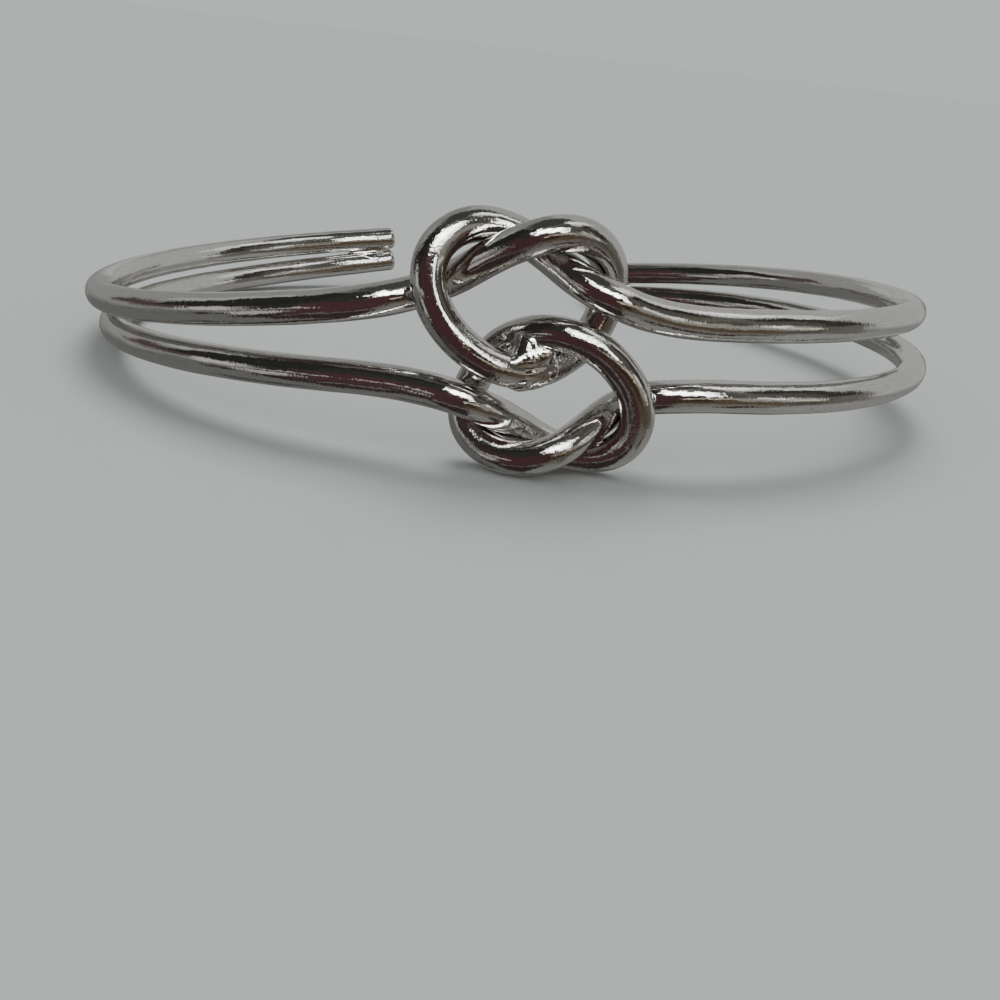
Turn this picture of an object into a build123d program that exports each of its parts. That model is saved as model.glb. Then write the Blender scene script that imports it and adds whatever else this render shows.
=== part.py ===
from build123d import *
import os
from math import asin, cos, degrees, radians, sin, tan
from typing import NamedTuple

# Knot cuff: an open cuff of two round wires. Each wire is tied in an overhand knot at the
# front, the two knots are hooked through each other, and the wires are soldered side by
# side at the two back ends. Millimetres. The cuff is drawn level first, with X across it,
# the knots towards -Y, the opening towards +Y and Z along the wrist. It was bent by hand,
# so its two ends aren't level with each other. It is then turned to lie as it rests: on the
# lower knot, on the lower wire's left side and on its right end.

# Wire
wire_diameter = 2.0
tip_round = 0.4

# Cuff, over the outside of the wires
cuff_width = 62.5
cuff_depth = 51.0
cuff_squareness = 2.17
opening = 19.2

# Knots, over the outside of the wire, seen from the front
upper_knot_width = 12.8
upper_knot_height = 10.25
lower_knot_width = 12.5
lower_knot_height = 9.7
knots_aside = -1.27
knots_above = 0.82
knot_step = 1.95
knot_pitch = 5.47

# Solder: a bar in the groove between the wires at each end, and a stub between the knots
end_solder_length = 4.4
end_solder_width = 1.0
end_solder_height = 1.3
end_solder_round = 0.3
knot_solder_width = 1.1
UPPER_SOLDER_ROW = 12
LOWER_SOLDER_ROW = 10

# What the cuff rests on: three stretches of the lower wire, as shares of its length
SUPPORT_STRETCHES = ((0.0, 0.2), (0.35, 0.65), (0.8, 1.0))
SUPPORT_STEPS = 2000
SUPPORT_PASSES = 6

# Bends: the shorter of two runs leaves this share of itself to each arc
arc_share = 0.45
runs_per_arm = 12
arm_crowding = 1.35


class KnotRow(NamedTuple):
    """One place along a knot, as shares of the knot's width and height inside the wire.

    The upper knot is measured from its left and its bottom. The lower one is the same
    knot turned half a turn, so it is measured from its right and its top. Lift is how
    far the wire stands out towards the front there, in wire diameters.
    """

    upper_across: float
    upper_up: float
    lower_across: float
    lower_up: float
    lift: float


KNOT = [
    KnotRow(-0.18, 0.45, -0.16, 0.51, -0.22),
    KnotRow(0.01, 0.51, -0.02, 0.55, -0.68),
    KnotRow(0.18, 0.62, 0.14, 0.63, -0.42),
    KnotRow(0.33, 0.77, 0.29, 0.76, 0.12),
    KnotRow(0.50, 0.90, 0.45, 0.89, 0.60),
    KnotRow(0.68, 0.97, 0.62, 0.97, 0.50),
    KnotRow(0.86, 0.93, 0.81, 0.96, 0.05),
    KnotRow(0.99, 0.75, 0.95, 0.80, -0.48),
    KnotRow(0.99, 0.49, 0.95, 0.56, -0.66),
    KnotRow(0.92, 0.25, 0.85, 0.28, -0.66),
    KnotRow(0.78, 0.09, 0.74, 0.11, -0.48),
    KnotRow(0.61, 0.00, 0.60, 0.02, 0.02),
    KnotRow(0.42, 0.03, 0.43, 0.01, 0.48),
    KnotRow(0.25, 0.14, 0.25, 0.11, 0.62),
    KnotRow(0.11, 0.31, 0.10, 0.30, 0.62),
    KnotRow(0.02, 0.53, 0.01, 0.53, 0.58),
    KnotRow(0.02, 0.78, 0.01, 0.78, 0.38),
    KnotRow(0.15, 0.96, 0.12, 0.96, 0.00),
    KnotRow(0.33, 0.99, 0.31, 1.00, -0.54),
    KnotRow(0.51, 0.91, 0.48, 0.92, -0.66),
    KnotRow(0.67, 0.77, 0.66, 0.76, -0.50),
    KnotRow(0.82, 0.62, 0.84, 0.60, 0.25),
    KnotRow(1.00, 0.52, 1.01, 0.50, 0.62),
    KnotRow(1.18, 0.43, 1.19, 0.46, 0.30),
]


class Arm(NamedTuple):
    """One wire's stretch from its knot round one side of the cuff to its back end.

    Side is -1 on the left and 1 on the right. Reach is the arm's own half width, as a
    share of the cuff's. The four rises, in wire diameters above the cuff's middle plane,
    are at the angles in RISE_ANGLES round the cuff from the middle of its front.
    """

    side: int
    reach: float
    rise_front: float
    rise_fore: float
    rise_rear: float
    rise_back: float


RISE_ANGLES = (20.0, 65.0, 110.0, 160.0)
UPPER_LEFT = Arm(-1, 1.016, 1.39, 0.37, 0.39, 1.12)
UPPER_RIGHT = Arm(1, 0.985, 1.13, 0.82, 0.60, -0.08)
LOWER_LEFT = Arm(-1, 0.988, -0.72, -0.82, -0.74, 0.09)
LOWER_RIGHT = Arm(1, 1.010, -1.02, -1.26, -0.98, -1.14)

half_width = (cuff_width - wire_diameter) / 2
half_depth = (cuff_depth - wire_diameter) / 2


def oval_depth(across):
    """Depth of the cuff's oval, from its middle to its front, at a place across it."""
    share = min(abs(across) / half_width, 1.0)
    return half_depth * (1 - share**cuff_squareness) ** (1 / cuff_squareness)


def arm_angle(arm, across):
    """Angle round the cuff, from the middle of its front, that lies this far across."""
    share = min(abs(across) / (half_width * arm.reach), 1.0)
    return degrees(asin(share ** (cuff_squareness / 2)))


def arm_rise(arm, angle):
    """Height of an arm at an angle: the cubic through the arm's four rises."""
    rises = (arm.rise_front, arm.rise_fore, arm.rise_rear, arm.rise_back)
    height = 0.0
    for here, rise in zip(RISE_ANGLES, rises):
        weight = 1.0
        for other in RISE_ANGLES:
            if other != here:
                weight *= (angle - other) / (here - other)
        height += rise * weight
    return height * wire_diameter


def arm_point(arm, angle):
    """Point of an arm's centre line on the cuff's rounded-square oval."""
    turn = radians(angle)
    across = arm.side * half_width * arm.reach * sin(turn) ** (2 / cuff_squareness)
    along = half_depth * abs(cos(turn)) ** (2 / cuff_squareness)
    if angle < 90:
        along = -along
    return (across, along, arm_rise(arm, angle))


def arm_points(arm, start_across):
    """Points of an arm from beside its knot to its back end, closer near the knot."""
    first = arm_angle(arm, start_across)
    last = 180 - arm_angle(arm, opening / 2)
    shares = [(i / runs_per_arm) ** arm_crowding for i in range(1, runs_per_arm + 1)]
    return [arm_point(arm, first + (last - first) * share) for share in shares]


def upper_knot_points():
    """Points of the upper knot, from left to right."""
    width = upper_knot_width - wire_diameter
    height = upper_knot_height - wire_diameter
    left = knots_aside - knot_step / 2 - width / 2
    bottom = knots_above + knot_pitch / 2 - height / 2
    points = []
    for row in KNOT:
        across = left + row.upper_across * width
        depth = oval_depth(across) + row.lift * wire_diameter
        points.append((across, -depth, bottom + row.upper_up * height))
    return points


def lower_knot_points():
    """Points of the lower knot, from left to right: the rows from the last to the first."""
    width = lower_knot_width - wire_diameter
    height = lower_knot_height - wire_diameter
    right = knots_aside + knot_step / 2 + width / 2
    top = knots_above - knot_pitch / 2 + height / 2
    points = []
    for row in reversed(KNOT):
        across = right - row.lower_across * width
        depth = oval_depth(across) + row.lift * wire_diameter
        points.append((across, -depth, top - row.lower_up * height))
    return points


def wire_points(left_arm, knot, right_arm):
    """Points of a whole wire: left arm from its end, knot, right arm to its end."""
    left = arm_points(left_arm, knot[0][0])
    right = arm_points(right_arm, knot[-1][0])
    return left[::-1] + knot + right


def bend_radii(points):
    """Radius at each corner: what the shorter run beside it leaves room for."""
    radii = []
    for before, here, after in zip(points, points[1:], points[2:]):
        run_in = Vector(*here) - Vector(*before)
        run_out = Vector(*after) - Vector(*here)
        half_turn = radians(run_in.get_angle(run_out)) / 2
        radii.append(arc_share * min(run_in.length, run_out.length) / tan(half_turn))
    return radii


def ground_under(path):
    """Plane that a wire rests on: under its rear left, its knot and its rear right."""
    places = [path @ (i / SUPPORT_STEPS) for i in range(SUPPORT_STEPS + 1)]
    stretches = [
        [place for i, place in enumerate(places) if first <= i / SUPPORT_STEPS <= last]
        for first, last in SUPPORT_STRETCHES
    ]
    up = Vector(0, 0, 1)
    for _ in range(SUPPORT_PASSES):
        left, knot, right = (min(stretch, key=up.dot) for stretch in stretches)
        up = (right - knot).cross(left - knot).normalized()
    return Plane(origin=knot, x_dir=Vector(1, 0, 0) - up * up.X, z_dir=up)


def seam_plane(upper, lower):
    """Plane across the groove between the wires, a tip's round in from their ends.

    Upper and lower each hold a wire's end point and the next point inward from it.
    """
    tip = (Vector(*upper[0]) + Vector(*lower[0])) / 2
    inner = (Vector(*upper[1]) + Vector(*lower[1])) / 2
    inward = (inner - tip).normalized()
    across = Vector(*upper[0]) - Vector(*lower[0])
    return Plane(origin=tip + inward * tip_round, x_dir=across, z_dir=inward)


def draw_wire(points):
    """Round wire through the points, its two tips softened; returns its centre line."""
    with BuildLine() as path:
        FilletPolyline(*points, radius=bend_radii(points))
    with BuildSketch(Plane(origin=path.line @ 0, z_dir=path.line % 0)) as section:
        Circle(wire_diameter / 2)
    sweep(section.sketch, path=path.line)
    fillet(edges().filter_by(GeomType.CIRCLE).sort_by(Axis.Y)[-2:], tip_round)
    return path.wire()


def draw_end_solder(upper, lower):
    """Rounded bar along the groove between the two wires at one end."""
    with BuildSketch(seam_plane(upper, lower)) as section:
        RectangleRounded(end_solder_height, end_solder_width, end_solder_round)
    extrude(section.sketch, amount=end_solder_length)


upper_knot = upper_knot_points()
lower_knot = lower_knot_points()
upper_points = wire_points(UPPER_LEFT, upper_knot, UPPER_RIGHT)
lower_points = wire_points(LOWER_LEFT, lower_knot, LOWER_RIGHT)

with BuildPart() as upper_wire:
    upper_line = draw_wire(upper_points)

with BuildPart() as lower_wire:
    lower_line = draw_wire(lower_points)

with BuildPart() as left_end_solder:
    draw_end_solder(upper_points[:2], lower_points[:2])

with BuildPart() as right_end_solder:
    draw_end_solder(upper_points[:-3:-1], lower_points[:-3:-1])

# Knot solder: a stub from the middle of one hooked arc to the middle of the other
stub_start = Vector(*upper_knot[UPPER_SOLDER_ROW])
stub_end = Vector(*lower_knot[-1 - LOWER_SOLDER_ROW])
with BuildPart() as knot_solder:
    with BuildSketch(Plane(origin=stub_start, z_dir=stub_end - stub_start)):
        Circle(knot_solder_width / 2)
    extrude(amount=(stub_end - stub_start).length)

# The cuff as it is worn, level
with BuildPart() as level_cuff:
    add(upper_wire.part)
    add(lower_wire.part)
    add(left_end_solder.part)
    add(right_end_solder.part)
    add(knot_solder.part)

# The cuff as it lies, with its origin under its middle
lying = ground_under(lower_line).to_local_coords(level_cuff.part)
reach = lying.bounding_box()
middle = (reach.min + reach.max) / 2
with BuildPart() as knot_cuff:
    add(lying.moved(Location((-middle.X, -middle.Y, -reach.min.Z))))

knot_cuff.part.label = "knot_cuff"
os.makedirs("parts", exist_ok=True)
export_step(knot_cuff.part, "parts/knot_cuff.step")

print("wire lengths", round(upper_line.length, 1), round(lower_line.length, 1))
print("volume", round(knot_cuff.part.volume, 1), "solids", len(knot_cuff.part.solids()))
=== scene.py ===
"""Dresses the knot cuff: two bright round wires, their knots, their solder and a studio.

The cuff is drawn level first, with X across it, the knots towards -Y, the opening towards
+Y and Z along the wrist, and then laid down as it rests. Lengths are in metres.
"""

import logging
from dataclasses import dataclass, field
from enum import Enum
from typing import Any, NamedTuple

import bpy
import numpy as np
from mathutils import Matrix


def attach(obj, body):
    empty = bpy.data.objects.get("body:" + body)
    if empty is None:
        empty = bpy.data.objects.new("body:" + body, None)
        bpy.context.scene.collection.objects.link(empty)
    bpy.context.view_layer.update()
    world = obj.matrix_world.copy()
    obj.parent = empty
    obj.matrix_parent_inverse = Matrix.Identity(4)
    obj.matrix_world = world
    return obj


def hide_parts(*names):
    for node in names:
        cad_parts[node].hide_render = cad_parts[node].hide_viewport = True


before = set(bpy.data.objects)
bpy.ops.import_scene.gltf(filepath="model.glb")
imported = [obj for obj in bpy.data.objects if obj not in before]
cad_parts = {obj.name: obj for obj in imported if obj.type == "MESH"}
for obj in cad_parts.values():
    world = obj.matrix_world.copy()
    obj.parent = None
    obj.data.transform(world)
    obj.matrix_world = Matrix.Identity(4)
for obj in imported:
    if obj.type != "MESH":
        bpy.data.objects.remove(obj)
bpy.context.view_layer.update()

log = logging.getLogger("knot_cuff")

MM = 0.001
NODE = "knot_cuff"
DRAWN = "drawn_wire"


class KnotRow(NamedTuple):
    """One place along a knot, as shares of its width and height inside the wire.

    The upper knot is measured from its left and bottom. The lower one is the same knot
    turned half a turn, so it is measured from its right and top. Lift is how far the
    wire stands out towards the front, in wire diameters.
    """

    upper_across: float
    upper_up: float
    lower_across: float
    lower_up: float
    lift: float


KNOT = (
    KnotRow(-0.18, 0.45, -0.16, 0.51, -0.22),
    KnotRow(0.01, 0.51, -0.02, 0.55, -0.68),
    KnotRow(0.18, 0.62, 0.14, 0.63, -0.42),
    KnotRow(0.33, 0.77, 0.29, 0.76, 0.12),
    KnotRow(0.50, 0.90, 0.45, 0.89, 0.60),
    KnotRow(0.68, 0.97, 0.62, 0.97, 0.50),
    KnotRow(0.86, 0.93, 0.81, 0.96, 0.05),
    KnotRow(0.99, 0.75, 0.95, 0.80, -0.48),
    KnotRow(0.99, 0.49, 0.95, 0.56, -0.66),
    KnotRow(0.92, 0.25, 0.85, 0.28, -0.66),
    KnotRow(0.78, 0.09, 0.74, 0.11, -0.48),
    KnotRow(0.61, 0.00, 0.60, 0.02, 0.02),
    KnotRow(0.42, 0.03, 0.43, 0.01, 0.48),
    KnotRow(0.25, 0.14, 0.25, 0.11, 0.62),
    KnotRow(0.11, 0.31, 0.10, 0.30, 0.62),
    KnotRow(0.02, 0.53, 0.01, 0.53, 0.58),
    KnotRow(0.02, 0.78, 0.01, 0.78, 0.38),
    KnotRow(0.15, 0.96, 0.12, 0.96, 0.00),
    KnotRow(0.33, 0.99, 0.31, 1.00, -0.54),
    KnotRow(0.51, 0.91, 0.48, 0.92, -0.66),
    KnotRow(0.67, 0.77, 0.66, 0.76, -0.50),
    KnotRow(0.82, 0.62, 0.84, 0.60, 0.25),
    KnotRow(1.00, 0.52, 1.01, 0.50, 0.62),
    KnotRow(1.18, 0.43, 1.19, 0.46, 0.30),
)


class Level(Enum):
    """Which of the two wires."""

    UPPER = "upper"
    LOWER = "lower"


@dataclass(frozen=True)
class Arm:
    """One wire's stretch from its knot round one side of the cuff to its back end.

    Side is -1 on the left and 1 on the right. Reach is the arm's own half width, as a
    share of the cuff's. Rises are heights in wire diameters above the cuff's middle
    plane, at the angles in RISE_ANGLES round the cuff from the middle of its front.
    """

    side: int
    reach: float
    rises: tuple[float, float, float, float]


RISE_ANGLES = (20.0, 65.0, 110.0, 160.0)
ARMS = {
    Level.UPPER: (Arm(-1, 1.016, (1.39, 0.37, 0.39, 1.12)), Arm(1, 0.985, (1.13, 0.82, 0.60, -0.08))),
    Level.LOWER: (Arm(-1, 0.988, (-0.72, -0.82, -0.74, 0.09)), Arm(1, 1.010, (-1.02, -1.26, -0.98, -1.14))),
}


def resample(line: np.ndarray, step: float) -> np.ndarray:
    """Places evenly spaced along a line of points.

    Args:
        line: points along the line, one a row.
        step: wanted distance between places; the last gap is made to fit.

    Returns:
        The evenly spaced places, with both ends kept.
    """
    gaps = np.linalg.norm(np.diff(line, axis=0), axis=1)
    reached = np.concatenate([[0.0], np.cumsum(gaps)])
    count = int(np.ceil(reached[-1] / step)) + 1
    wanted = np.linspace(0.0, reached[-1], count)
    return np.stack([np.interp(wanted, reached, line[:, axis]) for axis in range(3)], axis=1)


def unit(vectors: np.ndarray) -> np.ndarray:
    """Each row scaled to length one."""
    return vectors / np.linalg.norm(vectors, axis=-1, keepdims=True)


@dataclass
class CuffShape:
    """Sizes of the cuff, and the centre lines of its two wires while it stands level.

    Attributes:
        wire: wire diameter.
        width: cuff's width over the wires.
        depth: cuff's depth over the wires, without the knots' lift.
        squareness: exponent of the rounded-square oval; 2 is an ellipse.
        opening: gap between the ends.
        knot_sizes: outer width and height of each knot.
        knots_aside: how far the pair of knots stands off the middle, to the right.
        knots_above: how far it stands above the middle plane.
        knot_step: how far the lower knot stands to the right of the upper one.
        knot_pitch: how far it stands below it.
        runs_per_arm: stretches along each arm.
        crowding: how much closer the arm's points lie beside the knot.
        bend_steps: places along each bend.
        bell_reach: how many spreads the easing average reaches to each side.
    """

    wire: float = 2.0 * MM
    width: float = 62.5 * MM
    depth: float = 51.0 * MM
    squareness: float = 2.17
    opening: float = 19.2 * MM
    knot_sizes: dict[Level, tuple[float, float]] = field(
        default_factory=lambda: {
            Level.UPPER: (12.8 * MM, 10.25 * MM),
            Level.LOWER: (12.5 * MM, 9.7 * MM),
        }
    )
    knots_aside: float = -1.27 * MM
    knots_above: float = 0.82 * MM
    knot_step: float = 1.95 * MM
    knot_pitch: float = 5.47 * MM
    runs_per_arm: int = 12
    crowding: float = 1.35
    bend_steps: int = 24
    bell_reach: int = 3

    @property
    def half_width(self) -> float:
        """Half width of the oval that the centre lines follow."""
        return (self.width - self.wire) / 2

    @property
    def half_depth(self) -> float:
        """Half depth of the oval that the centre lines follow."""
        return (self.depth - self.wire) / 2

    def oval_depth(self, across: np.ndarray) -> np.ndarray:
        """Depth of the oval from its middle to its front at places across it.

        The oval is |x / half width| to the squareness plus |y / half depth| to the
        squareness, equal to one.
        """
        share = np.clip(np.abs(across) / self.half_width, 0.0, 1.0)
        return self.half_depth * (1 - share**self.squareness) ** (1 / self.squareness)

    def arm_angle(self, arm: Arm, across: float) -> float:
        """Angle in degrees round the cuff, from the middle of its front, at a place across."""
        share = min(abs(across) / (self.half_width * arm.reach), 1.0)
        return float(np.degrees(np.arcsin(share ** (self.squareness / 2))))

    def arm_rise(self, arm: Arm, angles: np.ndarray) -> np.ndarray:
        """Heights of an arm at some angles: the cubic through the arm's four rises."""
        cubic = np.polyfit(RISE_ANGLES, arm.rises, len(RISE_ANGLES) - 1)
        return np.polyval(cubic, angles) * self.wire

    def arm_points(self, arm: Arm, start_across: float) -> np.ndarray:
        """Points of an arm from beside its knot to its back end.

        Across is reach times sine, along is cosine, each to the power two over the
        squareness.
        """
        first = self.arm_angle(arm, start_across)
        last = 180 - self.arm_angle(arm, self.opening / 2)
        shares = (np.arange(1, self.runs_per_arm + 1) / self.runs_per_arm) ** self.crowding
        angles = first + (last - first) * shares
        turn = np.radians(angles)
        across = arm.side * self.half_width * arm.reach * np.sin(turn) ** (2 / self.squareness)
        along = self.half_depth * np.abs(np.cos(turn)) ** (2 / self.squareness)
        return np.stack([across, -np.sign(np.cos(turn)) * along, self.arm_rise(arm, angles)], axis=1)

    def knot_points(self, level: Level) -> np.ndarray:
        """Points of one knot, from left to right, on the oval's front plus their lift.

        Args:
            level: which wire's knot.

        Returns:
            One row for each row of KNOT.
        """
        rows = np.array(KNOT)
        width, height = (size - self.wire for size in self.knot_sizes[level])
        if level is Level.UPPER:
            left = self.knots_aside - self.knot_step / 2 - width / 2
            bottom = self.knots_above + self.knot_pitch / 2 - height / 2
            across = left + rows[:, 0] * width
            up = bottom + rows[:, 1] * height
        else:
            rows = rows[::-1]
            right = self.knots_aside + self.knot_step / 2 + width / 2
            top = self.knots_above - self.knot_pitch / 2 + height / 2
            across = right - rows[:, 2] * width
            up = top - rows[:, 3] * height
        return np.stack([across, -self.oval_depth(across) - rows[:, 4] * self.wire, up], axis=1)

    def wire_points(self, level: Level) -> np.ndarray:
        """Points of a whole wire, from its left end to its right end."""
        knot = self.knot_points(level)
        left_arm, right_arm = ARMS[level]
        left = self.arm_points(left_arm, knot[0, 0])
        right = self.arm_points(right_arm, knot[-1, 0])
        return np.concatenate([left[::-1], knot, right])

    def centre_line(self, level: Level, step: float, ease: float) -> np.ndarray:
        """Smooth centre line of a wire.

        Each inner point bends the line in an arc, from the middle of the run before it to
        the middle of the run after it, that is the square of (1 - t) times the first
        middle, plus 2 t (1 - t) times the point, plus t squared times the second middle.
        A bell-shaped average then eases the changes of bend.

        Args:
            level: which wire.
            step: distance between places.
            ease: spread of the average, as a length.

        Returns:
            Places along the line, evenly spaced.
        """
        points = self.wire_points(level)
        middles = (points[1:] + points[:-1]) / 2
        t = np.linspace(0.0, 1.0, self.bend_steps, endpoint=False)[None, :, None]
        start, corner, end = middles[:-1, None], points[1:-1, None], middles[1:, None]
        bends = (1 - t) ** 2 * start + 2 * t * (1 - t) * corner + t**2 * end
        line = np.concatenate([points[:1], bends.reshape(-1, 3), middles[-1:], points[-1:]])
        line = resample(line, step)
        reach = int(round(self.bell_reach * ease / step))
        bell = np.exp(-0.5 * (np.arange(-reach, reach + 1) * step / ease) ** 2)
        bell /= bell.sum()
        lead = line[0] - (line[1:reach + 1] - line[0])[::-1]
        tail = line[-1] + (line[-1] - line[-reach - 1:-1])[::-1]
        padded = np.concatenate([lead, line, tail])
        eased = np.stack([np.convolve(padded[:, axis], bell, mode="valid") for axis in range(3)], axis=1)
        return resample(eased, step)


@dataclass(frozen=True)
class Rest:
    """How the level cuff is turned and moved to lie on the floor.

    Attributes:
        axes: the resting frame's X, Y and Z as rows, in the level frame.
        foot: the level frame's point that the turn keeps.
        shift: what is added after the turn.
    """

    axes: np.ndarray
    foot: np.ndarray
    shift: np.ndarray

    # Stretches of the lower wire that it rests on, as shares of its length
    SUPPORTS = ((0.0, 0.2), (0.35, 0.65), (0.8, 1.0))
    PASSES = 6

    @classmethod
    def under(cls, line: np.ndarray) -> "Rest":
        """The turn that lays a wire on its lowest places.

        The plane through the lowest place of each of three stretches is found again with
        its own upright until it stays.

        Args:
            line: the lower wire's centre line, level.

        Returns:
            The turn, with no shift yet.
        """
        count = len(line)
        stretches = [line[int(first * count):int(np.ceil(last * count))] for first, last in cls.SUPPORTS]
        up = np.array([0.0, 0.0, 1.0])
        for _ in range(cls.PASSES):
            left, knot, right = (part[np.argmin(part @ up)] for part in stretches)
            up = unit(np.cross(right - knot, left - knot))
        across = unit(np.array([1.0, 0.0, 0.0]) - up * up[0])
        return cls(np.stack([across, np.cross(up, across), up]), knot, np.zeros(3))

    def settled(self, lines: list[np.ndarray], radius: float) -> "Rest":
        """The same turn, shifted to stand these lines' wires on the floor over the origin."""
        laid = np.concatenate([self.place(line) for line in lines])
        low, high = laid.min(axis=0), laid.max(axis=0)
        middle = (low + high) / 2
        middle[2] = low[2] - radius
        return Rest(self.axes, self.foot, self.shift - middle)

    def place(self, points: np.ndarray) -> np.ndarray:
        """Level points, laid down."""
        return (points - self.foot) @ self.axes.T + self.shift

    def turn(self, directions: np.ndarray) -> np.ndarray:
        """Level directions, laid down."""
        return directions @ self.axes.T


def ripple(
    along: np.ndarray, around: np.ndarray, seed: int, waves: int, length: float, most_turns: int = 4
) -> np.ndarray:
    """Soft unevenness over a wire: a sum of waves of random direction, height about one.

    Each wave is a sine of a whole number of turns round the wire plus a number of turns
    along it, so it closes on itself.

    Args:
        along: place along the wire.
        around: angle round the wire.
        seed: start of the random numbers.
        waves: how many waves are added.
        length: typical wave length along the wire.
        most_turns: largest number of turns round the wire, either way.

    Returns:
        The height at each place.
    """
    rng = np.random.default_rng(seed)
    turns = rng.integers(-most_turns, most_turns + 1, waves)
    pace = rng.normal(0.0, 2 * np.pi / length, waves)
    phase = rng.uniform(0.0, 2 * np.pi, waves)
    angle = pace * along[..., None] + turns * around[..., None] + phase
    return np.sin(angle).sum(axis=-1) / np.sqrt(waves / 2)


def grid_mesh(name: str, rings: np.ndarray, drawn: np.ndarray) -> bpy.types.Object:
    """A closed skin from rings of points, with a pole at each end.

    Args:
        name: the object's name.
        rings: points, ring by ring, each ring closed on itself; the first and last rings
            are closed by a pole at their middle.
        drawn: straight-wire coordinates of the same points.

    Returns:
        The new object, in the scene.
    """
    count, sides = rings.shape[:2]
    points = np.concatenate([rings.reshape(-1, 3), rings[0].mean(axis=0)[None], rings[-1].mean(axis=0)[None]])
    extra = np.stack([drawn[0].mean(axis=0), drawn[-1].mean(axis=0)])
    coordinates = np.concatenate([drawn.reshape(-1, 3), extra])
    ring, side = np.meshgrid(np.arange(count - 1), np.arange(sides), indexing="ij")
    after = (side + 1) % sides
    here = ring * sides
    corners = (here + side, here + after, here + sides + after, here + sides + side)
    quads = np.stack(corners, axis=-1).reshape(-1, 4)
    around = np.arange(sides)
    first_pole, last_pole = count * sides, count * sides + 1
    last = (count - 1) * sides
    heads = np.stack([np.full(sides, first_pole), (around + 1) % sides, around], axis=-1)
    tails = np.stack([np.full(sides, last_pole), last + around, last + (around + 1) % sides], axis=-1)
    loops = np.concatenate([quads.ravel(), heads.ravel(), tails.ravel()])
    totals = np.concatenate([np.full(len(quads), 4), np.full(2 * sides, 3)])
    mesh = bpy.data.meshes.new(name)
    mesh.vertices.add(len(points))
    mesh.vertices.foreach_set("co", points.astype(np.float32).ravel())
    mesh.loops.add(len(loops))
    mesh.loops.foreach_set("vertex_index", loops.astype(np.int32))
    mesh.polygons.add(len(totals))
    starts = np.concatenate([[0], np.cumsum(totals)[:-1]])
    mesh.polygons.foreach_set("loop_start", starts.astype(np.int32))
    mesh.update(calc_edges=True)
    mesh.validate()
    attribute = mesh.attributes.new(DRAWN, "FLOAT_VECTOR", "POINT")
    attribute.data.foreach_set("vector", coordinates.astype(np.float32).ravel())
    mesh.polygons.foreach_set("use_smooth", np.ones(len(mesh.polygons), dtype=bool))
    thing = bpy.data.objects.new(name, mesh)
    bpy.context.scene.collection.objects.link(thing)
    return thing


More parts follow.
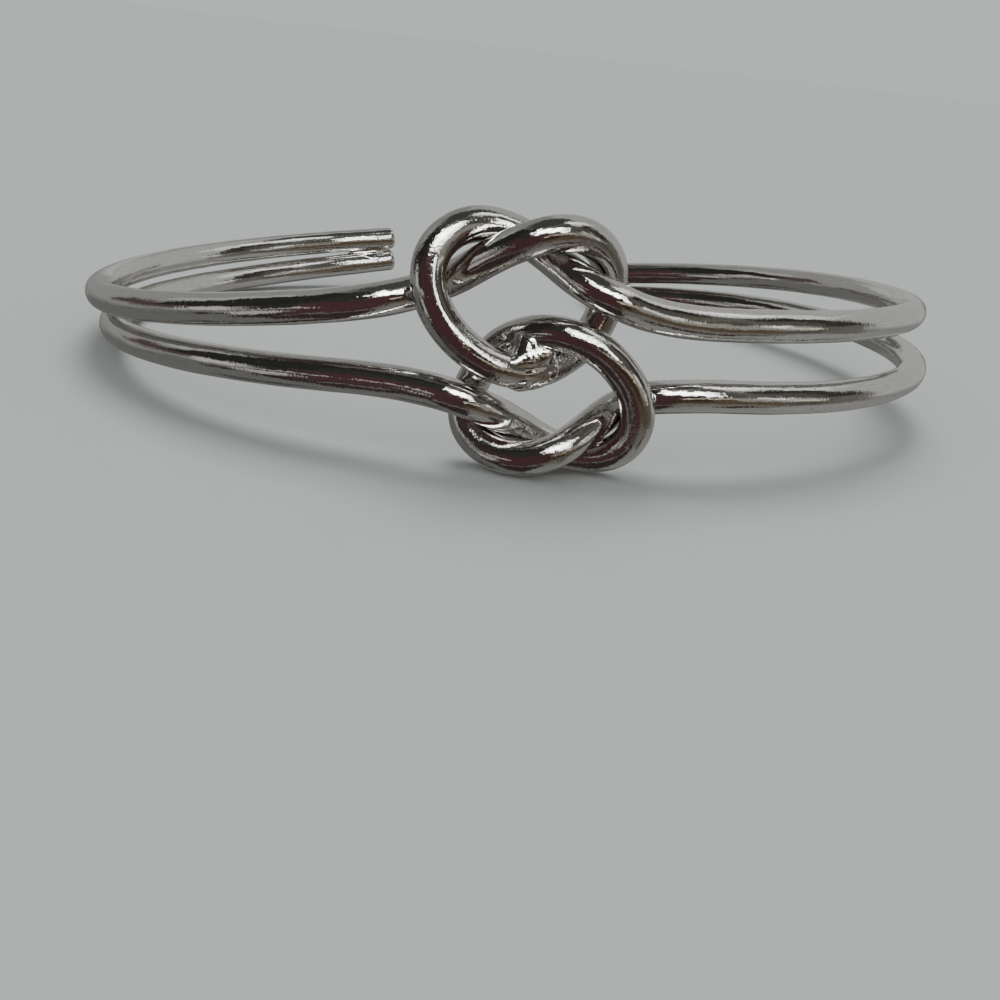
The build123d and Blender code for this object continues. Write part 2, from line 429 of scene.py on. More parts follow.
@dataclass
class RoundWire:
    """One of the two round wires, knotted and bent.

    Attributes:
        shape: the cuff's sizes.
        level: which wire.
        tip_round: rounding of its two ends.
        sides: facets round the wire.
        step: distance between rings.
        ease: how softly bends change.
        swell: height of the wire's hand-worked unevenness.
        swell_length: length of its waves.
        swell_waves: how many waves make it up.
        tip_rings: rings over the rounding of each tip.
    """

    shape: CuffShape
    level: Level
    tip_round: float = 0.4 * MM
    sides: int = 56
    step: float = 0.16 * MM
    ease: float = 0.35 * MM
    swell: float = 0.006 * MM
    swell_length: float = 4.5 * MM
    swell_waves: int = 14
    tip_rings: int = 9

    # Rings on a tip's flat end, as shares of its radius
    FLAT_RINGS = (0.35, 0.7, 0.93)
    # Start of each wire's random numbers
    SEEDS = {Level.UPPER: 11, Level.LOWER: 23}

    @property
    def name(self) -> str:
        """The piece's name."""
        return f"{self.level.value}_wire"

    def centre_line(self) -> np.ndarray:
        """The wire's centre line, level."""
        return self.shape.centre_line(self.level, self.step, self.ease)

    def sections(self, length: float) -> tuple[np.ndarray, np.ndarray]:
        """Where rings stand along the wire and how wide they are.

        Along the body the radius is the wire's. Over each tip it shrinks as a quarter
        circle of the tip's rounding, and the flat end has three more rings.

        Args:
            length: the wire's length.

        Returns:
            Distances along the wire, and radii.
        """
        radius = self.shape.wire / 2
        bend = np.radians(np.linspace(90.0, 0.0, self.tip_rings))
        flat = np.array(self.FLAT_RINGS) * (radius - self.tip_round)
        tip_at = np.concatenate([np.zeros(len(flat)), self.tip_round * (1 - np.sin(bend))])
        tip_radius = np.concatenate([flat, radius - self.tip_round + self.tip_round * np.cos(bend)])
        body = np.linspace(self.tip_round, length - self.tip_round, int(length / self.step))[1:-1]
        at = np.concatenate([tip_at, body, length - tip_at[::-1]])
        return at, np.concatenate([tip_radius, np.full(len(body), radius), tip_radius[::-1]])

    def frames(self, line: np.ndarray, at: np.ndarray) -> tuple[np.ndarray, np.ndarray, np.ndarray]:
        """Centre, outward and sideways directions of each ring.

        Outward is the oval's own outward direction, less what of it runs along the wire,
        so that rings never twist. Sideways is the wire's direction crossed with it.

        Args:
            line: the centre line, evenly spaced.
            at: distances along it.

        Returns:
            Centres, outward and sideways directions.
        """
        length = np.linalg.norm(np.diff(line, axis=0), axis=1).sum()
        places = np.linspace(0.0, length, len(line))
        tangent = unit(np.gradient(line, axis=0))
        centre = np.stack([np.interp(at, places, line[:, axis]) for axis in range(3)], axis=1)
        direction = unit(np.stack([np.interp(at, places, tangent[:, axis]) for axis in range(3)], axis=1))
        spread = np.array([self.shape.half_width**2, self.shape.half_depth**2, np.inf])
        outward = unit(centre / spread)
        outward = unit(outward - direction * (outward * direction).sum(axis=1, keepdims=True))
        return centre, outward, np.cross(direction, outward)

    def build(self, rest: Rest) -> bpy.types.Object:
        """The wire's skin.

        A ring's point is the centre plus the radius times cosine outward and sine
        sideways, where the radius also carries the wire's soft unevenness.

        Args:
            rest: how the cuff lies.

        Returns:
            The wire's object.
        """
        line = self.centre_line()
        length = float(np.linalg.norm(np.diff(line, axis=0), axis=1).sum())
        at, radius = self.sections(length)
        centre, outward, sideways = self.frames(line, at)
        angle = np.linspace(0.0, 2 * np.pi, self.sides, endpoint=False)
        seed = self.SEEDS[self.level]
        uneven = ripple(at[:, None], angle[None, :], seed, self.swell_waves, self.swell_length)
        width = radius[:, None] + self.swell * uneven * (radius / radius.max())[:, None]
        out = width[..., None] * np.cos(angle)[None, :, None]
        beside = width[..., None] * np.sin(angle)[None, :, None]
        rings = centre[:, None] + out * outward[:, None] + beside * sideways[:, None]
        along = np.broadcast_to(at[:, None, None], out.shape)
        drawn = np.concatenate([along, out, beside], axis=-1)
        return grid_mesh(self.name, rest.place(rings), drawn)


def lumps(points: np.ndarray, size: float, seed: int, waves: int = 24) -> np.ndarray:
    """Soft lumps in space: a sum of waves of random direction and pace, height about one.

    Args:
        points: places.
        size: typical distance between lumps.
        seed: start of the random numbers.
        waves: how many waves are added.

    Returns:
        The height at each place.
    """
    rng = np.random.default_rng(seed)
    heading = unit(rng.normal(size=(waves, 3)))
    shortest, longest = 0.6, 1.8
    pace = 2 * np.pi / (size * rng.uniform(shortest, longest, waves))
    phase = rng.uniform(0.0, 2 * np.pi, waves)
    return np.sin(points @ (heading * pace[:, None]).T + phase).sum(axis=-1) / np.sqrt(waves / 2)


def strand_distance(points: np.ndarray, line: np.ndarray, radius: float) -> np.ndarray:
    """Distances from places to the skin of a round strand.

    The nearest sample of the strand's line is taken, and the part of the way to it that
    runs along the strand is left out.
    """
    tangent = unit(np.gradient(line, axis=0))
    flat = points.reshape(-1, 3)
    nearest = np.linalg.norm(flat[:, None] - line[None], axis=2).argmin(axis=1)
    way = flat - line[nearest]
    way -= tangent[nearest] * (way * tangent[nearest]).sum(axis=1, keepdims=True)
    return np.linalg.norm(way, axis=1).reshape(points.shape[:-1]) - radius


@dataclass
class Solder:
    """Solder that fills the groove between two strands and laps onto them.

    Its skin is where the two strands' distances, blended, reach its thickness. The blend
    is the smaller distance less a quarter of the fill times the square of (1 less their
    difference over the fill), where they differ by less than the fill.

    Attributes:
        name: the piece's name.
        first: one strand's centre line near the joint.
        second: the other's.
        spine: places along the middle of the groove.
        front: the side on which most of the solder lies.
        radius: radius of the strands.
        front_fill: how far it fills the groove there.
        back_fill: how far it fills the other side.
        skin: how much thicker than the fill it is over the spine; at the lap it is nothing.
        lap: how far it reaches from the middle of the groove.
        lump: height of its lumps.
        lump_size: distance between them.
        seed: start of its random numbers.
        sides: facets round it.
        crumb: size and height of the finer lumps, as a share of the lumps'.
        ragged: how unevenly it laps, as a share of the lap.
        ease: how softly it thins out at the lap, as a share of the lap.
        least: its least reach, as a share of the lap.
        halvings: how often a ray is halved.
    """

    name: str
    first: np.ndarray
    second: np.ndarray
    spine: np.ndarray
    front: np.ndarray
    radius: float
    front_fill: float
    back_fill: float
    skin: float
    lap: float
    lump: float
    lump_size: float
    seed: int
    sides: int = 112
    crumb: float = 0.4
    ragged: float = 0.16
    ease: float = 0.12
    least: float = 0.02
    halvings: int = 22

    def reach(self) -> tuple[np.ndarray, np.ndarray]:
        """Ray directions from each place of the spine, and how far the skin is along them.

        Rays fan out square to the spine. Each is halved again and again between the
        spine, which is inside, and the lap, which counts as outside. Both ends of the
        spine taper as the square root of 1 less the square of the place.

        Returns:
            Directions and lengths.
        """
        along = unit(np.gradient(self.spine, axis=0))
        front = self.front - along * (along @ self.front)[:, None]
        front = unit(front)
        beside = np.cross(along, front)
        angle = np.linspace(0.0, 2 * np.pi, self.sides, endpoint=False)
        ray = front[:, None] * np.cos(angle)[None, :, None] + beside[:, None] * np.sin(angle)[None, :, None]
        place = np.linspace(-1.0, 1.0, len(self.spine))[:, None]
        taper = np.sqrt(np.clip(1 - place**2, 0.0, 1.0))
        facing = 0.5 + 0.5 * np.cos(angle)[None, :]
        fill = (self.back_fill + (self.front_fill - self.back_fill) * facing) * taper + 1e-6
        uneven = lumps(self.spine[:, None] + self.lap * ray, 2 * self.lump_size, self.seed)
        edge = self.lap * taper * (1 + self.ragged * uneven)
        inside = np.zeros(fill.shape)
        outside = np.full(fill.shape, 2 * self.radius)
        for _ in range(self.halvings):
            middle = (inside + outside) / 2
            points = self.spine[:, None] + middle[..., None] * ray
            one = strand_distance(points, self.first, self.radius)
            other = strand_distance(points, self.second, self.radius)
            overlap = np.clip(fill - np.abs(one - other), 0.0, None)
            level = np.minimum(one, other) - overlap**2 / (4 * fill)
            rough = self.skin + self.lump * lumps(points, self.lump_size, self.seed + 1)
            rough += self.lump * self.crumb * lumps(points, self.crumb * self.lump_size, self.seed + 2)
            near = np.clip(1 - (middle / np.maximum(edge, 1e-9)) ** 2, 0.0, 1.0)
            outer = level > rough * taper * near
            outside = np.where(outer, middle, outside)
            inside = np.where(outer, inside, middle)
        ease = self.ease * self.lap
        gap = np.clip(ease - np.abs(inside - edge), 0.0, None)
        return ray, np.maximum(np.minimum(inside, edge) - gap**2 / (4 * ease), self.least * self.lap)

    def build(self, rest: Rest) -> bpy.types.Object:
        """The solder's skin, with its places in the level frame as straight coordinates."""
        ray, length = self.reach()
        points = self.spine[:, None] + length[..., None] * ray
        return grid_mesh(self.name, rest.place(points), points)


class Signal:
    """A node socket that can be calculated with: each operation adds a Math node."""

    def __init__(self, tree: bpy.types.NodeTree, socket: bpy.types.NodeSocket) -> None:
        """Wraps a socket of a tree."""
        self.tree = tree
        self.socket = socket

    def apply(self, operation: str, *others: Any, clamp: bool = False) -> "Signal":
        """This value and others put through one Math node.

        Args:
            operation: the Math node's operation.
            others: numbers or signals for its other inputs.
            clamp: whether the result is held between 0 and 1.

        Returns:
            The result.
        """
        node = self.tree.nodes.new("ShaderNodeMath")
        node.operation = operation
        node.use_clamp = clamp
        for entry, value in zip(node.inputs, (self, *others)):
            if isinstance(value, Signal):
                self.tree.links.new(value.socket, entry)
            else:
                entry.default_value = value
        return Signal(self.tree, node.outputs[0])

    def __add__(self, other: Any) -> "Signal":
        """Sum."""
        return self.apply("ADD", other)

    __radd__ = __add__

    def __mul__(self, other: Any) -> "Signal":
        """Product."""
        return self.apply("MULTIPLY", other)

    __rmul__ = __mul__

    def __sub__(self, other: Any) -> "Signal":
        """Difference."""
        return self.apply("SUBTRACT", other)

    def __rsub__(self, other: Any) -> "Signal":
        """Difference from a number."""
        return (self * -1.0) + other

    def span(self, low: float, high: float) -> "Signal":
        """0 at or below low, 1 at or above high, and straight between."""
        return ((self - low) * (1 / (high - low))).apply("ADD", 0.0, clamp=True)


@dataclass
class Shader:
    """A node tree under construction."""

    tree: bpy.types.NodeTree

    # Places of the colour sockets on a Mix node: share, first, second and result
    MIX_SHARE, MIX_FIRST, MIX_SECOND, MIX_RESULT = 0, 6, 7, 2

    def node(self, kind: str, settings: dict[str, Any] | None = None, **values: Any) -> bpy.types.Node:
        """Any node: its settings are set first, then its sockets.

        Args:
            kind: the node's type.
            settings: properties of the node.
            values: numbers, colours, vectors, signals or sockets, by the socket's name
                with underscores for spaces.

        Returns:
            The node.
        """
        made = self.tree.nodes.new(kind)
        for key, value in (settings or {}).items():
            setattr(made, key, value)
        for key, value in values.items():
            entry = made.inputs[key.replace("_", " ")]
            if isinstance(value, Signal):
                self.tree.links.new(value.socket, entry)
            elif isinstance(value, bpy.types.NodeSocket):
                self.tree.links.new(value, entry)
            else:
                entry.default_value = value
        return made

    def signal(self, node: bpy.types.Node, output: str | int = 0) -> Signal:
        """One of a node's outputs, to calculate with."""
        return Signal(self.tree, node.outputs[output])

    def mix(self, share: Signal, low: Any, high: Any) -> bpy.types.NodeSocket:
        """One colour laid over another.

        Args:
            share: how much of the second shows.
            low: the first colour, or its socket.
            high: the second.

        Returns:
            The mixed colour's socket.
        """
        made = self.tree.nodes.new("ShaderNodeMix")
        made.data_type = "RGBA"
        self.tree.links.new(share.socket, made.inputs[self.MIX_SHARE])
        for entry, value in ((made.inputs[self.MIX_FIRST], low), (made.inputs[self.MIX_SECOND], high)):
            if isinstance(value, bpy.types.NodeSocket):
                self.tree.links.new(value, entry)
            else:
                entry.default_value = value
        return made.outputs[self.MIX_RESULT]

    def scaled(self, source: bpy.types.NodeSocket, scale: tuple[float, float, float]) -> bpy.types.NodeSocket:
        """A vector times a number along each axis."""
        made = self.tree.nodes.new("ShaderNodeVectorMath")
        made.operation = "MULTIPLY"
        self.tree.links.new(source, made.inputs[0])
        made.inputs[1].default_value = scale
        return made.outputs[0]


@dataclass(frozen=True)
class BrightPlate:
    """Bright plating over drawn wire: faintly wavy, streaked along the wire and pitted.

    Heights are those of the noise's whole range. Sizes are those of its grain across the
    wire.

    Attributes:
        name: the material's name.
        colour: the metal's colour.
        shade: its colour in the grain's hollows.
        roughness: gloss of the clean skin; 0 is a mirror.
        wave: height and size of its waves.
        wave_stretch: how many times as far they run along the wire.
        streak: height and size of the drawing marks.
        streak_stretch: how many times as far they run along the wire.
        grain: height and size of its fine grain.
        grain_gloss: how much roughness changes over the grain.
        shade_span: sums of streak and grain between which the shade gives way.
        pit: depth of the pits, and their radius.
        pit_floor: share of that radius that lies deepest.
        pit_spacing: distance between pits.
        pit_colour: their colour.
        pit_gloss: how much rougher they are.
        scorch: height and size of the roughness that soldering left in patches.
        scorch_patch: distance between such patches.
        scorch_span: noise between which such a patch begins and is full.
        scorch_reach: first and last place along a wire where they lie.
        scorch_edge: how far this reach fades in and out.
        scorch_and_shade_colour: the metal's darker colour over the knots: soldering tarnish in the
            patches, and painted shade over the whole reach, standing in for the knots'
            darker reflections of each other.
        scorch_and_shade_cover: how much of that colour lies over the whole reach, as painted
            shade and tarnish.
        patch_cover: how much more of it lies over a patch.
    """

    name: str = "bright_plate"
    colour: tuple[float, float, float] = (0.82, 0.815, 0.80)
    shade: tuple[float, float, float] = (0.74, 0.73, 0.705)
    roughness: float = 0.06
    wave: tuple[float, float] = (0.031 * MM, 0.9 * MM)
    wave_stretch: float = 2.0
    streak: tuple[float, float] = (0.0048 * MM, 0.12 * MM)
    streak_stretch: float = 10.0
    grain: tuple[float, float] = (0.0085 * MM, 0.20 * MM)
    grain_gloss: float = 0.10
    shade_span: tuple[float, float] = (0.75, 1.15)
    pit: tuple[float, float] = (0.012 * MM, 0.065 * MM)
    pit_floor: float = 0.4
    pit_spacing: float = 1.1 * MM
    pit_colour: tuple[float, float, float] = (0.10, 0.09, 0.085)
    pit_gloss: float = 0.3
    scorch: tuple[float, float] = (0.020 * MM, 0.13 * MM)
    scorch_patch: float = 3.4 * MM
    scorch_span: tuple[float, float] = (0.50, 0.60)
    scorch_reach: tuple[float, float] = (70 * MM, 118 * MM)
    scorch_edge: float = 3 * MM
    # Darker colour over the knots: painted shade over the whole knotted reach, and soldering tarnish in the
    # patches
    scorch_and_shade_colour: tuple[float, float, float] = (0.60, 0.59, 0.56)
    scorch_and_shade_cover: float = 0.45
    patch_cover: float = 0.25

    @staticmethod
    def noise(shader: Shader, place: Any, size: float, stretch: float, detail: float) -> Signal:
        """Noise over the wire, stretched along it.

        Args:
            shader: the material's tree.
            place: the straight-wire coordinates' socket.
            size: grain size across the wire.
            stretch: how many times as far it runs along the wire.
            detail: how many finer grains are added.

        Returns:
            The noise, from 0 to 1.
        """
        scaled = shader.scaled(place, (1 / (size * stretch), 1 / size, 1 / size))
        return shader.signal(
            shader.node("ShaderNodeTexNoise", Vector=scaled, Scale=1.0, Detail=detail, Roughness=0.55)
        )

    def material(self) -> bpy.types.Material:
        """The finish as a material.

        Returns:
            The material, which reads the wire's straight-wire coordinates.
        """
        made = bpy.data.materials.new(self.name)
        made.use_nodes = True
        made.node_tree.nodes.clear()
        shader = Shader(made.node_tree)
        drawn = shader.node("ShaderNodeAttribute", {"attribute_name": DRAWN}).outputs["Vector"]
        waves = self.noise(shader, drawn, self.wave[1], self.wave_stretch, 1.0)
        streaks = self.noise(shader, drawn, self.streak[1], self.streak_stretch, 2.0)
        grain = self.noise(shader, drawn, self.grain[1], 1.0, 1.0)
        cells = shader.node(
            "ShaderNodeTexVoronoi",
            Vector=shader.scaled(drawn, (1 / self.pit_spacing,) * 3),
            Scale=1.0,
            Randomness=1.0,
        )
        along = shader.signal(shader.node("ShaderNodeSeparateXYZ", Vector=drawn), "X")
        first, last = self.scorch_reach
        reached = along.span(first, first + self.scorch_edge)
        passed = along.span(last - self.scorch_edge, last)
        patches = self.noise(shader, drawn, self.scorch_patch, 1.0, 2.0).span(*self.scorch_span)
        knotted = reached * (1.0 - passed)
        scorched = patches * knotted
        rough = self.noise(shader, drawn, self.scorch[1], 1.0, 2.0) * scorched
        nearness = shader.signal(cells, "Distance") * self.pit_spacing
        pits = 1.0 - nearness.span(self.pit[1] * self.pit_floor, self.pit[1])
        height = waves * self.wave[0] + streaks * self.streak[0] + grain * self.grain[0]
        height = height + rough * self.scorch[0] - pits * self.pit[0]
        bump = shader.node("ShaderNodeBump", Strength=1.0, Distance=1.0, Height=height)
        clean = (streaks + grain).span(*self.shade_span)
        tone = shader.mix(clean, (*self.shade, 1.0), (*self.colour, 1.0))
        # Painted shade: the whole knotted reach is darkened, standing in for the knots' darker reflections of
        # each other; the patches add soldering tarnish on top
        cover = knotted * self.scorch_and_shade_cover + scorched * self.patch_cover
        tone = shader.mix(cover, tone, (*self.scorch_and_shade_colour, 1.0))
        tone = shader.mix(pits, tone, (*self.pit_colour, 1.0))
        gloss = grain * self.grain_gloss + (self.roughness - self.grain_gloss / 2) + pits * self.pit_gloss
        skin = shader.node(
            "ShaderNodeBsdfPrincipled",
            Base_Color=tone,
            Metallic=1.0,
            Roughness=gloss,
            Normal=bump.outputs["Normal"],
        )
        shader.node("ShaderNodeOutputMaterial", Surface=skin.outputs["BSDF"])
        return made


class Tone(Enum):
    """Colours of the cards and lamps round the cuff, at level one."""

    WHITE = (1.0, 1.0, 0.98)
    GREY = (1.0, 1.0, 0.96)
    OLIVE = (1.0, 1.02, 0.87)
    SAND = (1.0, 0.94, 0.82)
    CREAM = (1.0, 0.94, 0.90)
    COPPER = (1.0, 0.83, 0.67)
    BROWN = (1.0, 0.77, 0.54)
    ROSE = (1.0, 0.72, 0.69)
    MAROON = (1.0, 0.47, 0.51)


@dataclass(frozen=True)
class Card:
    """A far soft-edged card or lamp, which only the metal mirrors.

    Attributes:
        name: what it is for.
        azimuth: its left and right bounds in degrees, 0 straight in front of the cuff and
            positive to the right.
        elevation: its lower and upper bounds in degrees.
        tone: its colour.
        level: how bright it is.
        soft: width of its edges in degrees.
    """

    name: str
    azimuth: tuple[float, float]
    elevation: tuple[float, float]
    tone: Tone
    level: float
    soft: float

    @property
    def colour(self) -> tuple[float, float, float, float]:
        """Its light: the tone times the level."""
        red, green, blue = self.tone.value
        return (red * self.level, green * self.level, blue * self.level, 1.0)


@dataclass(frozen=True)
class Sun:
    """A wide soft light from far away, which the metal doesn't mirror.

    Attributes:
        name: its name.
        azimuth: where it stands, in degrees right of straight in front of the cuff.
        elevation: how high it stands, in degrees.
        spread: how wide it is, in degrees.
        strength: its strength.
    """

    name: str
    azimuth: float
    elevation: float
    spread: float
    strength: float


@dataclass
class Studio:
    """The pale floor, the soft light, what the metal mirrors and the camera.

    Attributes:
        rest: how the cuff lies.
        floor_half: half the floor's width.
        floor_colour: the floor's colour.
        floor_roughness: how dull it is.
        floor_specular: how much it shines.
        backdrop: what is seen past the floor.
        even: the even light all round.
        room: what the metal mirrors where no card stands.
        cards: the cards and lamps, later ones over earlier ones.
        waver: how far their edges stray, in degrees.
        waver_scale: how closely they waver, in waves to a radian.
        suns: the lights.
        lens: the camera's focal length, in millimetres.
        sensor: the width of its frame, in millimetres.
        clip: nearest and farthest distance that it shows.
        camera_place: where the camera stands, in the level cuff's frame.
        camera_turn: how far it looks to the right of straight ahead, in degrees.
        camera_dip: how far it looks down, in degrees.
        camera_roll: how far it leans, in degrees.
    """

    rest: Rest
    floor_half: float = 60.0
    floor_colour: tuple[float, float, float] = (0.595, 0.63, 0.622)
    floor_roughness: float = 0.8
    floor_specular: float = 0.2
    backdrop: tuple[float, float, float] = (0.575, 0.607, 0.60)
    even: float = 0.34
    room: tuple[float, float, float] = (0.24, 0.24, 0.235)
    cards: tuple[Card, ...] = (
        # Behind and to the left
        Card("left ground", (-181, -60), (-91, -8), Tone.GREY, 0.14, 14),
        Card("left ground line", (-146, -106), (-68, -54), Tone.GREY, 0.065, 5),
        Card("left wall", (-181, -96), (-8, 62), Tone.GREY, 0.275, 10),
        Card("left wall glow", (-181, -163), (2, 20), Tone.GREY, 0.48, 6),
        Card("left wall foot", (-122, -74), (0, 19), Tone.ROSE, 0.085, 7),
        Card("left wall edge", (-121, -101), (28, 52), Tone.GREY, 0.42, 4),
        # Behind and to the right
        Card("right wall", (92, 181), (-12, 62), Tone.GREY, 0.435, 8),
        Card("right ground", (66, 181), (-78, -24), Tone.GREY, 0.25, 6),
        Card("right ground shade", (142, 181), (-91, -24), Tone.GREY, 0.11, 8),
        Card("right wall foot", (142, 181), (-25, -2), Tone.GREY, 0.17, 6),
        # Left
        Card("left flag", (-102, -50), (12, 62), Tone.OLIVE, 0.026, 5),
        Card("left post", (-62, -44), (-40, 20), Tone.OLIVE, 0.032, 6),
        Card("left reflector", (-84, -66), (-6, 12), Tone.CREAM, 0.52, 4),
        Card("left low reflector", (-66, -50), (-28, -11), Tone.CREAM, 0.44, 4),
        Card("left reflector edge", (-80, -64), (-27, -18), Tone.SAND, 0.045, 4),
        Card("left low reflector edge", (-66, -44), (-45, -33), Tone.SAND, 0.022, 4),
        Card("front left flag", (-54, -14), (20, 75), Tone.OLIVE, 0.036, 6),
        # Right
        Card("right side", (38, 93), (-91, 45), Tone.SAND, 0.14, 8),
        Card("right side shade", (62, 76), (-28, 45), Tone.SAND, 0.09, 8),
        Card("right flag", (76, 92), (8, 46), Tone.SAND, 0.045, 5),
        Card("right flag top", (66, 93), (38, 47), Tone.SAND, 0.035, 3),
        Card("right flag foot", (44, 62), (14, 20), Tone.SAND, 0.035, 2),
        Card("right low reflector", (68, 100), (-60, -24), Tone.GREY, 0.27, 6),
        Card("front right flag", (24, 54), (9, 62), Tone.OLIVE, 0.085, 6),
        # In front
        Card("front ground", (-62, 14), (-91, -26), Tone.ROSE, 0.042, 8),
        Card("front cloth", (-48, 16), (-32, 26), Tone.MAROON, 0.073, 8),
        Card("front shade", (12, 30), (8, 22), Tone.SAND, 0.035, 4),
        Card("front board", (8, 60), (-32, 3), Tone.BROWN, 0.10, 8),
        Card("front board shade", (2, 34), (-17, -4), Tone.BROWN, 0.042, 5),
        Card("front right ground", (16, 62), (-60, -28), Tone.SAND, 0.175, 7),
        Card("front right ground glow", (28, 100), (-80, -49), Tone.GREY, 0.23, 5),
        Card("front right ground line", (52, 63), (-51, -37), Tone.ROSE, 0.05, 4),
        Card("front ground line", (-50, 30), (-42, -36), Tone.CREAM, 0.16, 3),
        Card("front cloth edge", (-62, -40), (-3, 0), Tone.CREAM, 0.50, 2),
        Card("front board edge", (10, 46), (1.5, 6), Tone.COPPER, 0.72, 2),
        # Overhead
        Card("ceiling", (-181, 181), (64, 91), Tone.GREY, 0.065, 6),
        # Lamps and windows
        Card("right reflector", (43, 70), (-7, 13), Tone.SAND, 0.30, 5),
        Card("right window", (58, 91), (49, 70), Tone.WHITE, 0.55, 4),
        Card("right window pane", (62, 90), (57, 68), Tone.WHITE, 1.7, 3),
        Card("right window sill", (93, 120), (38, 53), Tone.WHITE, 0.78, 3),
        Card("right window top", (72, 110), (51, 60), Tone.WHITE, 1.3, 3),
        Card("right lamp", (55, 62), (5, 15), Tone.WHITE, 1.3, 5),
        Card("right low lamp", (60, 73), (-4, 3), Tone.SAND, 0.70, 2),
        Card("left pane", (-24, -13), (41, 60), Tone.WHITE, 5.0, 3),
        Card("middle pane", (-14, 13), (30, 51), Tone.WHITE, 10.0, 2.5),
        Card("right pane", (8, 34), (25, 46), Tone.WHITE, 8.0, 2.5),
        Card("low right pane", (27, 37), (15, 40), Tone.WHITE, 4.0, 3),
        Card("far right pane", (33, 42), (34, 43), Tone.WHITE, 2.5, 3),
    )
    waver: float = 5.0
    waver_scale: float = 5.0
    suns: tuple[Sun, ...] = (Sun("key", 172.0, 66.0, 36.0, 1.65), Sun("fill", -35.0, 48.0, 60.0, 0.45))
    lens: float = 39.63
    sensor: float = 36.0
    clip: tuple[float, float] = (0.001, 200.0)
    camera_place: tuple[float, float, float] = (-9.074 * MM, -86.093 * MM, 12.047 * MM)
    camera_turn: float = 5.81
    camera_dip: float = 18.18
    camera_roll: float = 2.83

    def floor(self) -> None:
        """The pale floor, wide enough to have no edge in the picture."""
        half = self.floor_half
        mesh = bpy.data.meshes.new("floor")
        corners = [(-half, -half, 0.0), (half, -half, 0.0), (half, half, 0.0), (-half, half, 0.0)]
        mesh.from_pydata(corners, [], [(0, 1, 2, 3)])
        paint = bpy.data.materials.new("floor")
        paint.use_nodes = True
        skin = paint.node_tree.nodes["Principled BSDF"]
        skin.inputs["Base Color"].default_value = (*self.floor_colour, 1.0)
        skin.inputs["Roughness"].default_value = self.floor_roughness
        skin.inputs["Specular IOR Level"].default_value = self.floor_specular
        mesh.materials.append(paint)
        thing = bpy.data.objects.new("floor", mesh)
        bpy.context.scene.collection.objects.link(thing)
        thing.visible_glossy = False

    @staticmethod
    def within(angle: Signal, bounds: tuple[float, float], soft: float) -> Signal:
        """How far an angle lies within two bounds: 1 inside, 0 outside, a half at each bound.

        It is half the bounds' distance less the angle's distance from their middle, over
        the softness, plus a half.
        """
        middle, half = (bounds[0] + bounds[1]) / 2, (bounds[1] - bounds[0]) / 2
        apart = (angle - middle).apply("ABSOLUTE")
        return apart.apply("MULTIPLY_ADD", -1 / soft, half / soft + 0.5, clamp=True)

    def world(self) -> None:
        """The room: a plain backdrop, an even light, and the cards that metal mirrors.

        Azimuth is the arc tangent of x over -y and elevation the arc sine of z, of the
        way that a ray goes, each with a little noise.
        """
        world = bpy.data.worlds.new("room")
        world.use_nodes = True
        world.node_tree.nodes.clear()
        shader = Shader(world.node_tree)
        way = shader.node("ShaderNodeTexCoord").outputs["Generated"]
        parts = shader.node("ShaderNodeSeparateXYZ", Vector=way)
        noise = shader.node(
            "ShaderNodeTexNoise", Vector=way, Scale=self.waver_scale, Detail=1.0, Roughness=0.5
        )
        nudge = (shader.signal(noise) - 0.5) * (2 * self.waver)
        back = shader.signal(parts, "Y") * -1.0
        azimuth = shader.signal(parts, "X").apply("ARCTAN2", back) * (180 / np.pi) + nudge
        elevation = shader.signal(parts, "Z").apply("ARCSINE") * (180 / np.pi) + nudge
        light: Any = (*self.room, 1.0)
        for card in self.cards:
            across = self.within(azimuth, card.azimuth, card.soft)
            upward = self.within(elevation, card.elevation, card.soft)
            light = shader.mix(across * upward, light, card.colour)
        path = shader.node("ShaderNodeLightPath")
        plain = (self.even, self.even, self.even, 1.0)
        seen = shader.mix(shader.signal(path, "Is Camera Ray"), plain, (*self.backdrop, 1.0))
        whole = shader.mix(shader.signal(path, "Is Glossy Ray"), seen, light)
        glow = shader.node("ShaderNodeBackground", Color=whole, Strength=1.0)
        shader.node("ShaderNodeOutputWorld", Surface=glow.outputs["Background"])
        bpy.context.scene.world = world

    def shine(self, sun: Sun) -> None:
        """Puts up one of the lights, facing the cuff."""
        light = bpy.data.lights.new(sun.name, "SUN")
        light.angle = float(np.radians(sun.spread))
        light.energy = sun.strength
        thing = bpy.data.objects.new(sun.name, light)
        bpy.context.scene.collection.objects.link(thing)
        turn, rise = np.radians([sun.azimuth, sun.elevation])
        back = np.array([np.sin(turn) * np.cos(rise), -np.cos(turn) * np.cos(rise), np.sin(rise)])
        side = unit(np.cross(np.array([0.0, 0.0, 1.0]), back))
        self.stand(thing, back, np.stack([side, np.cross(back, side), back]))
        thing.visible_glossy = False

    @staticmethod
    def stand(thing: bpy.types.Object, place: np.ndarray, axes: np.ndarray) -> None:
        """Puts an object at a place with its own X, Y and Z along the rows of axes."""
        matrix = np.eye(4)
        matrix[:3, :3] = axes.T
        matrix[:3, 3] = place
        thing.matrix_world = [tuple(row) for row in matrix.T]

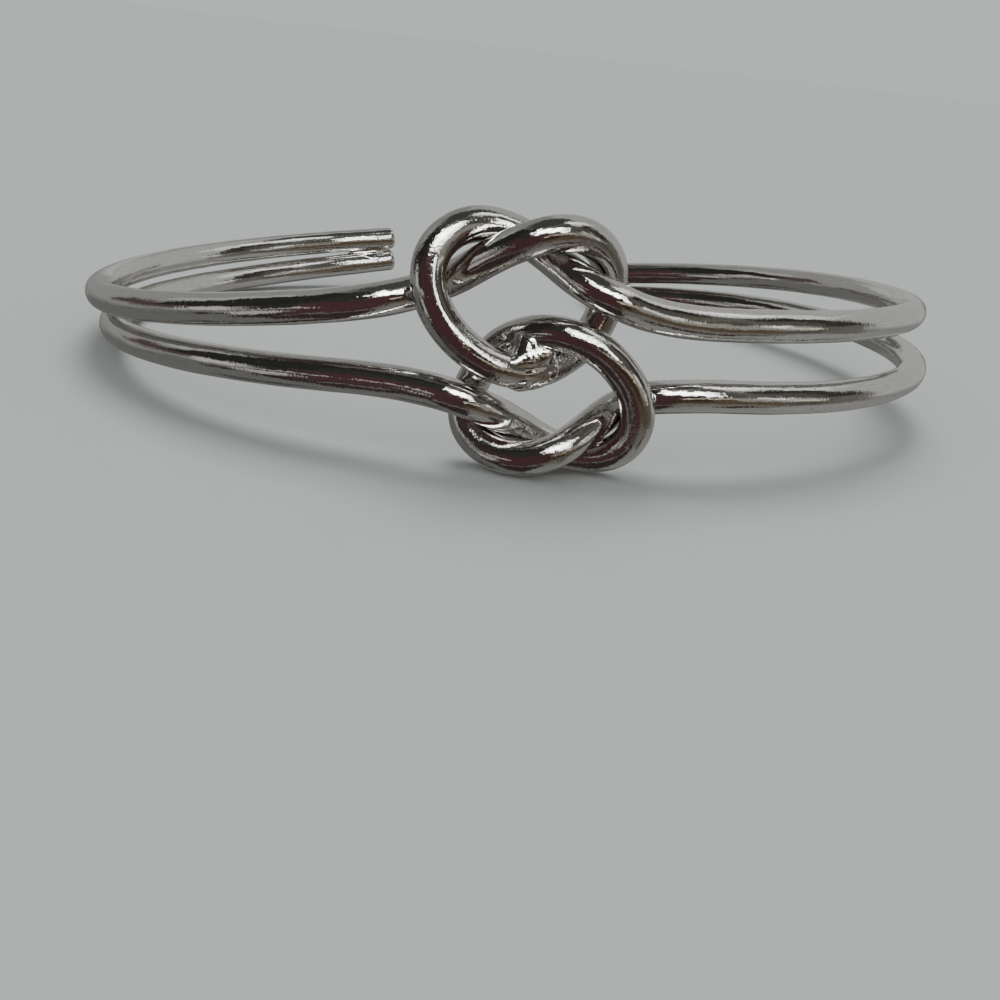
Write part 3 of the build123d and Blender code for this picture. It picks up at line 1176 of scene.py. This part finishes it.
    def camera(self) -> None:
        """The camera: turned, dipped and rolled about the level cuff, then laid with it."""
        turn, dip, roll = np.radians([self.camera_turn, self.camera_dip, self.camera_roll])
        ahead = np.array([np.sin(turn) * np.cos(dip), np.cos(turn) * np.cos(dip), -np.sin(dip)])
        right = np.array([np.cos(turn), -np.sin(turn), 0.0])
        up = np.cross(right, ahead)
        leaned_right = np.cos(roll) * right + np.sin(roll) * up
        leaned_up = np.cos(roll) * up - np.sin(roll) * right
        data = bpy.data.cameras.new("camera")
        data.lens = self.lens
        data.sensor_width = self.sensor
        data.clip_start, data.clip_end = self.clip
        thing = bpy.data.objects.new("camera", data)
        bpy.context.scene.collection.objects.link(thing)
        axes = self.rest.turn(np.stack([leaned_right, leaned_up, -ahead]))
        self.stand(thing, self.rest.place(np.array(self.camera_place)), axes)
        bpy.context.scene.camera = thing

    def build(self) -> None:
        """Everything round the cuff."""
        self.floor()
        self.world()
        for sun in self.suns:
            self.shine(sun)
        self.camera()


@dataclass
class Cuff:
    """The whole cuff: two wires and the solder that joins them.

    Attributes:
        shape: its sizes.
        end_solder: how far the solder at the back ends runs.
        end_gap: how far from the tips it begins.
        end_strand: how much of each wire counts for it.
        end_step: distance between places along its spine.
        end_seeds: start of the random numbers for the left and right one's lumps.
        knot_solder: where the solder between the knots begins and ends, along the upper
            wire.
        knot_sag: how far its middle lies from the middle between the strands.
        knot_margin: how much of each wire before and after counts for it.
        knot_step: distance between places along its spine.
        knot_seed: start of the random numbers for its lumps.
    """

    shape: CuffShape
    end_solder: float = 4.4 * MM
    end_gap: float = 0.35 * MM
    end_strand: float = 12 * MM
    end_step: float = 0.08 * MM
    end_seeds: tuple[int, int] = (3, 4)
    knot_solder: tuple[float, float] = (90.6 * MM, 95.6 * MM)
    knot_sag: tuple[float, float, float] = (0.1 * MM, 0.0, -0.55 * MM)
    knot_margin: float = 3 * MM
    knot_step: float = 0.04 * MM
    knot_seed: int = 5

    def wires(self) -> tuple[RoundWire, RoundWire]:
        """The two wires."""
        return RoundWire(self.shape, Level.UPPER), RoundWire(self.shape, Level.LOWER)

    def end_joint(self, name: str, upper: np.ndarray, lower: np.ndarray, seed: int) -> Solder:
        """The solder along one pair of back ends, whose centre lines start at the tips."""
        step = float(np.linalg.norm(upper[1] - upper[0]))
        count = int(self.end_strand / step)
        first = int(self.end_gap / step)
        last = int((self.end_gap + self.end_solder) / step)
        spine = resample((upper[first:last] + lower[first:last]) / 2, self.end_step)
        return Solder(
            name, upper[:count], lower[:count], spine, np.array([0.0, 1.0, 0.0]), self.shape.wire / 2,
            front_fill=0.75 * MM, back_fill=0.6 * MM, skin=0.01 * MM, lap=0.95 * MM,
            lump=0.008 * MM, lump_size=1.6 * MM, seed=seed,
        )

    def knot_joint(self, upper: np.ndarray, lower: np.ndarray) -> Solder:
        """The lumpy solder in the groove between the two hooked arcs.

        Its spine is the parabola that lies closest to the middles between the arcs, and
        sags below them.
        """
        step = float(np.linalg.norm(upper[1] - upper[0]))
        first, last = (int(place / step) for place in self.knot_solder)
        margin = int(self.knot_margin / step)
        strand = upper[first:last]
        facing = np.linalg.norm(strand[:, None] - lower[None], axis=2).argmin(axis=1)
        share = np.linspace(-1.0, 1.0, len(strand))
        middles = (strand + lower[facing]) / 2 + np.array(self.knot_sag)
        smooth = [np.polyval(np.polyfit(share, middles[:, axis], 2), share) for axis in range(3)]
        spine = resample(np.stack(smooth, axis=1), self.knot_step)
        return Solder(
            "knot_solder", upper[first - margin:last + margin],
            lower[facing.min() - margin:facing.max() + margin], spine, np.array([0.0, -1.0, 0.0]),
            self.shape.wire / 2, front_fill=2.3 * MM, back_fill=0.7 * MM, skin=0.28 * MM, lap=1.9 * MM,
            lump=0.055 * MM, lump_size=0.85 * MM, seed=self.knot_seed,
        )

    def build(self) -> Rest:
        """Every piece, dressed and named, in place of the solid, which is hidden."""
        wires = self.wires()
        upper, lower = (wire.centre_line() for wire in wires)
        rest = Rest.under(lower).settled([upper, lower], self.shape.wire / 2)
        joints = (
            self.end_joint("left_end_solder", upper, lower, self.end_seeds[0]),
            self.end_joint("right_end_solder", upper[::-1], lower[::-1], self.end_seeds[1]),
            self.knot_joint(upper, lower),
        )
        plate = BrightPlate().material()
        for part in (*wires, *joints):
            piece = part.build(rest)
            piece.data.materials.append(plate)
            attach(piece, "root")
            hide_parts(NODE)
            log.info("%s: %d points", piece.name, len(piece.data.vertices))
        return rest


def main() -> None:
    """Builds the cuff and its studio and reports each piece."""
    logging.basicConfig(level=logging.INFO, format="%(message)s")
    rest = Cuff(CuffShape()).build()
    Studio(rest).build()


if __name__ == "__main__":
    main()
